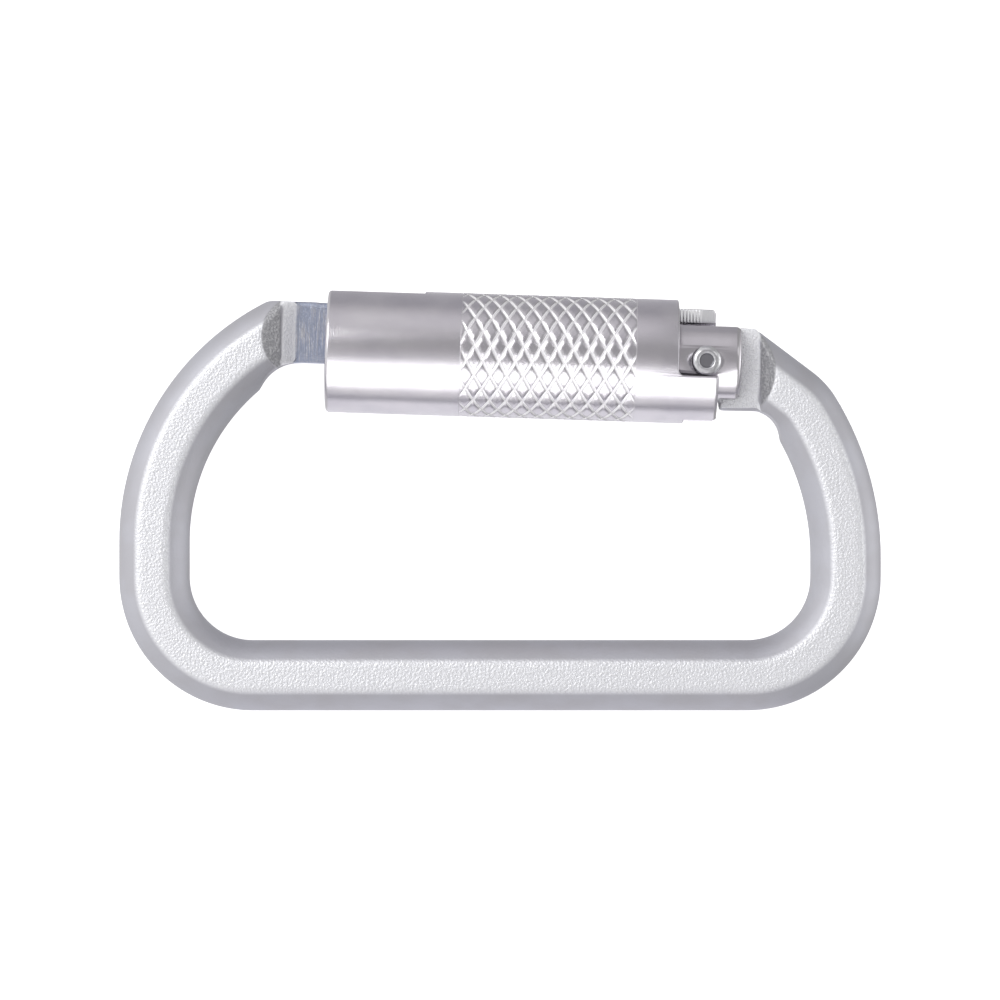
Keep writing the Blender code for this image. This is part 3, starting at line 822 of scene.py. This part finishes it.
def studio():
    scene = bpy.context.scene
    scene.view_settings.view_transform = 'Standard'
    world = bpy.data.worlds.new("softboxRoom")
    world.use_nodes = True
    scene.world = world
    tree = world.node_tree
    wire = Wire(tree)
    coords = wire.node('ShaderNodeTexCoord', out=0)
    x, y, z = axesOf(wire, coords)
    peak = room["peak"]

    def tones(stops, share, tint):
        return wire.node(
            'ShaderNodeValToRGB', {0: share},
            {"stops": [(at, tuple(v * t / peak for t in tint)) for at, v in stops]})

    lean = y * 0.5 + 0.5
    sky = tones(room["sky"], lean, (1.0, 0.985, 1.01))
    low = tones(room["low"], lean, (0.99, 0.98, 1.03))
    sides = tones(room["sides"], x * 0.5 + 0.5, (1.0, 1.0, 1.0))
    middle = mixColour(wire, z.step(*room["horizon"]), low, sky)
    around = mixColour(wire, wire.math('ABSOLUTE', x).step(*room["strip"]), middle, sides)
    isCamera = wire.node('ShaderNodeLightPath', out=0)
    shown = mixColour(wire, isCamera, around, room["backdrop"])
    background = tree.nodes["Background"]
    tree.links.new(shown.out, background.inputs["Color"])
    background.inputs["Strength"].default_value = peak
    for name, (towards, distance, width, height, level) in softboxes.items():
        box = bpy.data.lights.new(name, 'AREA')
        box.shape = 'RECTANGLE'
        box.size, box.size_y = width, height
        box.energy = level * math.pi * width * height
        lamp = bpy.data.objects.new(name, box)
        scene.collection.objects.link(lamp)
        lamp.location = Vector(towards).normalized() * distance
        lamp.rotation_euler = Vector(towards).to_track_quat('Z', 'Y').to_euler()
        if name == "barrelSoftbox":
            # kept off the forged bar: it only lights the turned pieces
            lamp.light_linking.receiver_collection = bpy.data.collections.new("turnedPieces")
    deselectAll()
    bpy.ops.mesh.primitive_plane_add(size=3.0, location=(0, 0, cadLow.z))
    floor = bpy.context.object
    floor.name = "studioFloor"
    floor.visible_glossy = False
    material, wire, shader = newMaterial("palePaper", Metallic=0.0, Roughness=0.9)
    shader.inputs["Base Color"].default_value = (0.8, 0.8, 0.8, 1)
    shader.inputs["Emission Color"].default_value = (1, 1, 1, 1)
    shader.inputs["Emission Strength"].default_value = 0.8
    floor.data.materials.append(material)
    camera = bpy.data.objects.new("camera", bpy.data.cameras.new("camera"))
    scene.collection.objects.link(camera)
    camera.location = (0, 0, cameraView["height"])
    camera.data.lens = cameraView["lens"]
    camera.data.sensor_width = cameraView["sensor"]
    camera.data.clip_start = cameraView["nearest"]
    scene.camera = camera


studio()
print("studio ready")

body = forgedBody()
finishPiece(body, "frame", forgedSteel(), "body_steel", "body")
print("body", len(body.data.polygons))

barrel = gateBarrel()
smooth(barrel)
barrelSteel = turnedSteel("turnedBarrel", (0.64, 0.62, 0.65), (0.56, 0.54, 0.57), 0.2, 0.006)
finishPiece(barrel, "gate", barrelSteel, "gate_steel", "gate")

sleeve = twistSleeve()
smooth(sleeve)
sleeveSteel = turnedSteel("turnedSleeve", turnedLook["light"], turnedLook["dark"],
                          turnedLook["roughness"], turnedLook["grainDepth"], milled=True)
finishPiece(sleeve, "sleeve", sleeveSteel, "sleeve_steel", "sleeve")
print("sleeve", len(sleeve.data.polygons))

knurl = knurlBand()
smooth(knurl, 50)
knurlSteel = turnedSteel("knurledSleeve", turnedLook["light"], turnedLook["dark"],
                         turnedLook["roughness"], turnedLook["grainDepth"], knurled=True)
finishPiece(knurl, "sleeve", knurlSteel, "sleeve_steel")
print("knurl", len(knurl.data.polygons))
for piece in (barrel, sleeve, knurl):
    bpy.data.collections["turnedPieces"].objects.link(piece)

rivet = hingePin()
smooth(rivet)
finishPiece(rivet, "gate", pinSteel("facedPin", hinge), "pin_steel", "hinge_pin")
cross = latchPin()
smooth(cross)
finishPiece(cross, "gate", pinSteel("crossPinSteel", latchCentre),
            "pin_steel", "latch_pin")
print("pins ready")

hiddenLooks = {
    "gate_plunger": ((0.66, 0.66, 0.68), (0.58, 0.58, 0.6), 0.25, 0.4),
    "gate_spring": ((0.5, 0.5, 0.52), (0.4, 0.4, 0.43), 0.3, 0.3),
    "sleeve_spring": ((0.5, 0.5, 0.52), (0.4, 0.4, 0.43), 0.3, 0.3),
    "sleeve_bush": ((0.72, 0.56, 0.3), (0.6, 0.45, 0.22), 0.3, 0.5),
    "retaining_ring": ((0.22, 0.22, 0.24), (0.34, 0.34, 0.36), 0.4, 0.35),
}
for node, look in hiddenLooks.items():
    holder = frame["nodes"][node].data
    holder.materials.clear()
    holder.materials.append(plainMetal(node + "Metal", *look))

print("pieces placed")
